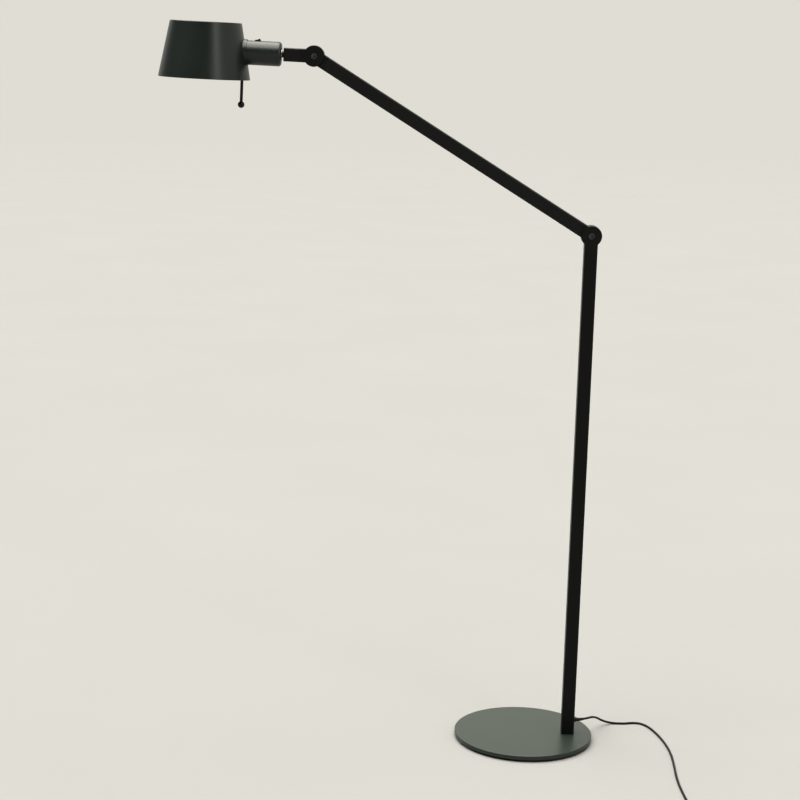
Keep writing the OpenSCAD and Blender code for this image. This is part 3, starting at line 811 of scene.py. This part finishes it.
nipple_hole = 5.05 * MM
spacer_radius = 7 * MM
spacer_end = 71.6 * MM
washer_radius = 10 * MM
washer_end = 72.6 * MM
spacer_outline = rounded([
    (nipple_hole, link_length, 0),
    (spacer_radius, link_length, 0.3 * MM),
    (spacer_radius, spacer_end, 0.3 * MM),
    (nipple_hole, spacer_end, 0),
])
spacer = turned("swivel_collar", spacer_outline, along_head, closed=True, sides=64)
fitted(spacer, tube_coat_shaded_copy, "link", "green_paint", "swivel_spacer")
washer_outline = rounded([
    (nipple_hole, spacer_end, 0),
    (washer_radius, spacer_end, 0.25 * MM),
    (washer_radius, washer_end, 0.15 * MM),
    (nipple_hole, washer_end, 0),
])
washer = turned("swivel_disc", washer_outline, along_head, closed=True, sides=64)
fitted(washer, zinc, "link", "zinc_steel", "swivel_washer")
coat_node("swivel_nipple", zinc)
coat_node("swivel_locknut", zinc)
coat_node("swivel_spring", spring_grey)
coat_node("swivel_bush", nylon_grey)

# ---------------------------------------------------------------- lamp housing
# A turned aluminium cap with a well rounded rim closes the housing tube. Cap, tube and the
# collar at the shade are coated together, smoother than the castings.

# The lamp's one coat, painted lighter here than on the tubes: painted light on the housing, its cap
# and collar.
head_coat_lit_copy = powder_coat("head_powder_coat_lit_copy", (0.0085, 0.0130, 0.0112), (0.0125, 0.0180, 0.0155),
                        roughness=0.33, peel=0.7)
cap_start = 72.7 * MM
cap_end = 80 * MM
cap_rim = 6.5 * MM
cap_hole = 8.05 * MM
lip_end = cap_end + 8 * MM       # the lip is pushed into the housing tube
lip_radius = 24.9 * MM
lip_bore = 22.4 * MM
housing_radius = 27 * MM
cap_outline = rounded([
    (cap_hole, cap_start, 0.2 * MM),
    (housing_radius, cap_start, cap_rim),
    (housing_radius, cap_end, 0.35 * MM),
    (lip_radius, cap_end, 0),
    (lip_radius, lip_end, 0.3 * MM),
    (lip_bore, lip_end, 0.3 * MM),
    (lip_bore, cap_end, 0.5 * MM),
    (cap_hole, cap_end, 0.2 * MM),
], closed=True, steps=10)
cap = turned("housing_cap", cap_outline, along_head, closed=True, sides=160)
fitted(cap, head_coat_lit_copy, "head", "head_paint", "end_cap")
coat_node("lamp_housing", head_coat_lit_copy)
coat_node("shade_collar", head_coat_lit_copy)

# ---------------------------------------------------------------- shade
# Spun aluminium, a tapered cup with a closed top, a tight radius at the crown and a rolled
# hem at the rim. It is coated dark green, satin, a little smoother than the tubes.

head_up = head_axis.cross(Vector((0, 1, 0)))
shade_x = 244 * MM
shade_place = facing(wrist - head_axis * shade_x, head_up, head_axis)
shade_rim = -61.2 * MM
shade_crown = 63.2 * MM
rim_radius = 102.9 * MM
crown_radius = 79.9 * MM
sheet = 1.2 * MM
hem = 1.3 * MM
crown_edge = 2.2 * MM
crown_flat = 30 * MM             # inside this radius the top is one flat piece
shade_hole_start = 130 * MM
shade_hole_end = 200 * MM
lean = (rim_radius - crown_radius) / (shade_crown - shade_rim)


def wall_radius(height, inset=0.0):
    """Radius of the shade's wall at a height above the head's axis."""
    return rim_radius - lean * (height - shade_rim) - inset


def shade_outline():
    """Closed outline: over the outside, round the hem, and back up the inside."""
    outer = rounded([
        (crown_flat, shade_crown, 0),
        (crown_radius, shade_crown, crown_edge),
        (wall_radius(shade_rim + hem), shade_rim + hem, 0),
    ], steps=8)
    rows = 14
    top = outer[-2]
    wall = []
    for k in range(1, rows + 1):
        height = top[1] + (shade_rim + hem - top[1]) * k / rows
        wall.append((wall_radius(height), height))
    roll_middle = (wall_radius(shade_rim + hem) - hem, shade_rim + hem)
    roll = [(roll_middle[0] + hem * cos(radians(a)), roll_middle[1] - hem * sin(radians(a)))
            for a in range(20, 220, 20)]
    inside_low = shade_rim + 2.2 * hem
    inner = rounded([
        (wall_radius(inside_low, sheet), inside_low, 0),
        (wall_radius(shade_crown - sheet, sheet), shade_crown - sheet, 1.4 * MM),
        (crown_flat, shade_crown - sheet, 0),
    ])
    return outer[:-1] + wall + roll + inner


def cut_hole(piece, place, radius, start, end):
    """Cuts a round hole through a piece along a place's Z."""
    drill = turned("drill", [(radius, start), (radius, end)], place)
    cut = piece.modifiers.new("hole", "BOOLEAN")
    cut.operation = "DIFFERENCE"
    cut.solver = "EXACT"
    cut.object = drill
    shaped = bpy.data.meshes.new_from_object(piece.evaluated_get(
        bpy.context.evaluated_depsgraph_get()))
    piece.modifiers.remove(cut)
    piece.data = shaped
    bpy.data.objects.remove(drill)


# The lamp's one coat, painted lighter here than on the tubes: painted light on the shade.
shade_coat_lit_copy = powder_coat("shade_powder_coat_lit_copy", (0.0062, 0.0108, 0.0090), (0.0090, 0.0146, 0.0123),
                         roughness=0.34, peel=0.6)
shade = turned("spun_shade", shade_outline(), shade_place, sides=192)
cut_hole(shade, along_head, housing_radius + 0.05 * MM, shade_hole_start, shade_hole_end)
fitted(shade, shade_coat_lit_copy, "head", "shade_paint", "shade")
coat_node("shade_clamp_ring", blackened_steel("blackened_ring", 0.5))

# ---------------------------------------------------------------- handle
# A black steel rod is screwed up into the housing behind the shade's wall, and carries a
# black moulded ball that is held to turn the head.

rod_x = 159.2 * MM
ball_drop = 115.6 * MM
rod_radius = 3.25 * MM
ball_radius = 7.5 * MM
below_head = facing(wrist - head_axis * rod_x, -head_up, head_axis)
rod_start = 27.3 * MM
rod_end = ball_drop - 3 * MM     # the rod ends inside the ball
rod_outline = rounded([
    (rod_radius - 0.5 * MM, rod_start, 0),
    (rod_radius, rod_start + 0.5 * MM, 0.1 * MM),
    (rod_radius, rod_end, 0.3 * MM),
    (1 * MM, rod_end, 0),
])
rod = turned("handle_pin", rod_outline, below_head, sides=64)
rod_enamel = moulded_black("black_enamel", tone=0.004, roughness=0.34, texture=0.01)
fitted(rod, rod_enamel, "head", "black_steel", "handle_rod")

ball_hole = rod_radius + 0.05 * MM
hole_rim = rod_radius + 0.4 * MM
rim_rise = sqrt(ball_radius ** 2 - hole_rim ** 2)
ball_outline = [(ball_hole, rod_end), (ball_hole, ball_drop - rim_rise + 0.1 * MM)]
rim_angle = atan2(rim_rise, hole_rim)
ball_steps = 32
for k in range(ball_steps + 1):
    angle = rim_angle - (rim_angle + pi / 2 - 0.02) * k / ball_steps
    ball_outline.append((ball_radius * cos(angle), ball_drop - ball_radius * sin(angle)))
ball = turned("handle_ball", ball_outline, below_head, sides=96)
ball_black = moulded_black("glossy_black_ball", tone=0.005, roughness=0.25, texture=0.008)
fitted(ball, ball_black, "head", "black_plastic", "ball_knob")

# ---------------------------------------------------------------- rocker switch
# A small rocker in a black frame is snapped into the top of the housing. Its raised end
# points at the arm; both are moulded in the same semi-matt plastic.

switch_x = 126 * MM
switch_place = facing(wrist - head_axis * switch_x, head_up, head_axis)


def box_outline(long, wide, radius):
    """Oblong outline with round corners."""
    corners = [(-long / 2, -wide / 2), (long / 2, -wide / 2), (long / 2, wide / 2),
               (-long / 2, wide / 2)]
    return rounded([(x, y, radius) for x, y in corners], closed=True, steps=4)


switch_rings = []                # in millimetres: length, width, corner, height
for long, wide, corner, height in (
    (14.8, 9.2, 0.3, 17.0), (14.8, 9.2, 0.3, 26.2), (15.6, 10.6, 1.2, 26.2),
    (15.6, 10.6, 1.2, 27.0), (15.3, 10.3, 1.05, 27.3), (14.9, 9.9, 0.85, 27.4),
    (14.1, 8.5, 0.4, 27.4), (13.8, 8.2, 0.3, 27.1), (13.8, 8.2, 0.3, 21.5),
):
    outline = box_outline(long * MM, wide * MM, corner * MM)
    switch_rings.append(ring_of(outline, height * MM, switch_place))
switch = lofted("switch_frame", switch_rings)
switch_black = moulded_black("switch_black", tone=0.006, roughness=0.38, texture=0.02)
fitted(switch, switch_black, "head", "black_plastic", "switch_body")

rocker_pivot = Vector(joints["switch_rock"]["pos_m"])
rocker_tilt = radians(17)
rocker_place = (Matrix.Translation(rocker_pivot) @ Matrix.Rotation(-rocker_tilt, 4, "Y")
                @ facing((0, 0, 0), (0, 1, 0), head_axis))
rocker_half = 5.8                # the rocker's sizes are in millimetres
rocker_low = 4.4
rocker_high = rocker_low + rocker_half * tan(radians(9))
rocker_tip = 0.45
rocker_dip = 3.0
rocker_rings = []
for across, inset in ((-3.9, 0.35), (-3.75, 0.1), (-3.5, 0), (3.5, 0), (3.75, 0.1), (3.9, 0.35)):
    side_reach = rocker_half - inset
    profile = rounded([
        (-side_reach, -(rocker_high - inset), rocker_tip),
        (0, -(rocker_low - inset), rocker_dip),
        (side_reach, -(rocker_high - inset), rocker_tip),
        (side_reach, 1, 0.2),
        (-side_reach, 1, 0.2),
    ], closed=True, steps=5)
    rocker_rings.append(ring_of([(x * MM, y * MM) for x, y in profile], across * MM,
                                rocker_place))
rocker = lofted("switch_rocker_key", rocker_rings)
fitted(rocker, switch_black, "rocker", "black_plastic", "switch_rocker")

# ---------------------------------------------------------------- lampholder and bulb
# A black holder with a brass screw shell sits in the housing's mouth. The bulb lies on its
# side in the shade: a white plastic base and an opal globe.

holder_black = moulded_black("holder_black", tone=0.014, roughness=0.5)
brass_bare = plated_steel("bare_brass", (0.70, 0.50, 0.22), roughness=0.3, lines=2200.0)
coat_node("lampholder_ring", holder_black)
coat_node("lampholder_body", holder_black)
coat_node("holder_shell", brass_bare)
coat_node("holder_contact", brass_bare)
coat_node("bulb_cap", plated_steel("rolled_cap", (0.72, 0.72, 0.70), roughness=0.3, lines=2000.0))


def opal():
    """White opal glass."""
    finish = Finish("opal_globe")
    film = finish.grain(25.0, 2.0)
    finish.surface(base_color=finish.blend(film, (0.80, 0.79, 0.75), (0.86, 0.85, 0.82)))
    finish.surface(roughness=0.22 + 0.08 * film, subsurface_weight=0.3)
    return finish


def white_moulding():
    """Slightly glossy white plastic."""
    finish = Finish("white_moulding")
    haze = finish.grain(70.0, 3.0)
    finish.surface(base_color=finish.blend(haze, (0.72, 0.71, 0.68), (0.80, 0.79, 0.77)))
    finish.surface(roughness=0.34 + 0.1 * haze)
    finish.relief(finish.grain(1500.0), 0.01 * MM)
    return finish


bulb_neck = 171 * MM
bulb_join = 203 * MM
globe_middle = 219.6 * MM
globe_radius = 30 * MM
join_radius = sqrt(globe_radius ** 2 - (globe_middle - bulb_join) ** 2)
neck_face = 12 * MM
neck_radius = 13.2 * MM
base_steps = 12
base_outline = [(neck_face, bulb_neck), (neck_radius, bulb_neck + 0.3 * MM)]
for k in range(1, base_steps + 1):
    share = k / base_steps
    flare = neck_radius + (join_radius - neck_radius) * (0.75 * share + 0.25 * share * share)
    base_outline.append((flare, bulb_neck + (bulb_join - bulb_neck) * share))
base_outline.append((join_radius - 1.2 * MM, bulb_join))
bulb_base = turned("bulb_base_moulding", base_outline, along_head, sides=96)
fitted(bulb_base, white_moulding(), "head", "bulb_white", "bulb_base")

globe_outline = []
globe_steps = 40
join_angle = atan2(bulb_join - globe_middle, join_radius)
for k in range(globe_steps + 1):
    angle = join_angle + (pi / 2 - 0.015 - join_angle) * k / globe_steps
    globe_outline.append((globe_radius * cos(angle), globe_middle + globe_radius * sin(angle)))
globe = turned("bulb_opal_globe", globe_outline, along_head, sides=96)
fitted(globe, opal(), "head", "bulb_opal", "bulb_globe")

# ---------------------------------------------------------------- studio
# A plain pale floor that runs on until it meets pale surroundings of the same brightness.
# It fades out far behind the lamp, so that no edge shows, and all light is soft.

floor_radius = 30.0
fade_start = 9.0
fade_end = 28.0


def floor_paint():
    """Matt pale grey, see-through towards the floor's far edge."""
    finish = Finish("studio_floor")
    clouds = finish.grain(1.3, 2.0)
    finish.surface(base_color=finish.blend(clouds, (0.208,) * 3, (0.217,) * 3))
    finish.surface(roughness=0.9, specular_ior_level=0.0)
    spot = finish.node("ShaderNodeTexCoord", out="Object")
    away = finish.node("ShaderNodeVectorMath", {"operation": "LENGTH"}, {0: spot}, "Value")
    finish.surface(alpha=finish.rise(away, fade_end, fade_start))
    return finish


floor_rim = ring_of(circle(floor_radius), 0, ORIGIN)
floor = skin("studio_floor", floor_rim, [tuple(range(len(floor_rim)))])
floor.data.materials.append(floor_paint().material)


class Surroundings(Finish):
    """Node tree of the studio's pale surroundings."""

    def __init__(self, world):
        world.use_nodes = True
        self.tree = world.node_tree
        self.shader = self.tree.nodes["Background"]


studio_tint = (1.0, 0.975, 0.905)
horizon_level = 0.79
side_level = 1.15
side_dark = 0.06                 # share of the side level that the front left keeps
side_toward = (0.839, 0.545)
strip_level = 4.4
strip_toward = (0.62, -0.78)
overhead_level = 8.0
overhead_toward = Vector((-0.3, 0.0, 1)).normalized()
overhead_soft = radians(46)      # the overhead box fades out between these angles
overhead_full = radians(32)


def light_surroundings():
    """Pale all round, with a large soft box overhead, a tall one at the front right, and
    little light from the front left."""
    world = bpy.data.worlds.new("studio")
    bpy.context.scene.world = world
    studio = Surroundings(world)
    toward = studio.node("ShaderNodeTexCoord", out="Generated")
    x, y, z = (studio.node("ShaderNodeSeparateXYZ", None, {0: toward}, axis) for axis in "XYZ")
    side_x, side_y = side_toward
    from_right = studio.rise(side_x * x + side_y * y, -0.08, 0.12)
    lit = studio.math("MAXIMUM", from_right, studio.rise(y, 0.4, 0.75))
    side = side_level * (side_dark + (1 - side_dark) * lit)
    level = horizon_level + studio.rise(z, 0.03, 0.25) * (side - horizon_level)
    strip_x, strip_y = strip_toward
    across = studio.math("ABSOLUTE", strip_x * y - strip_y * x, 0.0)
    ahead = strip_x * x + strip_y * y
    strip = studio.rise(across, 0.16, 0.05) * studio.rise(ahead, 0.1, 0.3)
    strip = strip * studio.rise(z, 0.03, 0.15) * studio.rise(z, 0.85, 0.6)
    box = overhead_toward
    overhead = studio.rise(box.x * x + box.y * y + box.z * z, cos(overhead_soft),
                           cos(overhead_full))
    strength = level + strip_level * strip + overhead_level * overhead
    studio.feed(studio.shader, "Color", studio_tint)
    studio.feed(studio.shader, "Strength", strength)


light_surroundings()


def place_camera():
    """Standing view, a little above the elbow's height and looking down on the base."""
    eye = (-0.3074, -4.2387, 1.6307)
    lens = 84.005
    yaw = radians(-0.131)
    down = radians(10.934)
    roll = radians(1.71)
    level = Vector((sin(yaw), cos(yaw), 0))
    right = Vector((cos(yaw), -sin(yaw), 0))
    up = Vector((0, 0, 1))
    ahead = level * cos(down) - up * sin(down)
    above = up * cos(down) + level * sin(down)
    tilted_right = right * cos(roll) + above * sin(roll)
    tilted_above = above * cos(roll) - right * sin(roll)
    data = bpy.data.cameras.new("view")
    data.lens = lens
    data.sensor_width = 36
    camera = bpy.data.objects.new("view", data)
    bpy.context.scene.collection.objects.link(camera)
    turn = Matrix((tilted_right, tilted_above, -ahead)).transposed().to_4x4()
    camera.matrix_world = Matrix.Translation(eye) @ turn
    bpy.context.scene.camera = camera


place_camera()
bpy.context.scene.view_settings.view_transform = "Standard"
bpy.context.scene.view_settings.gamma = 0.8
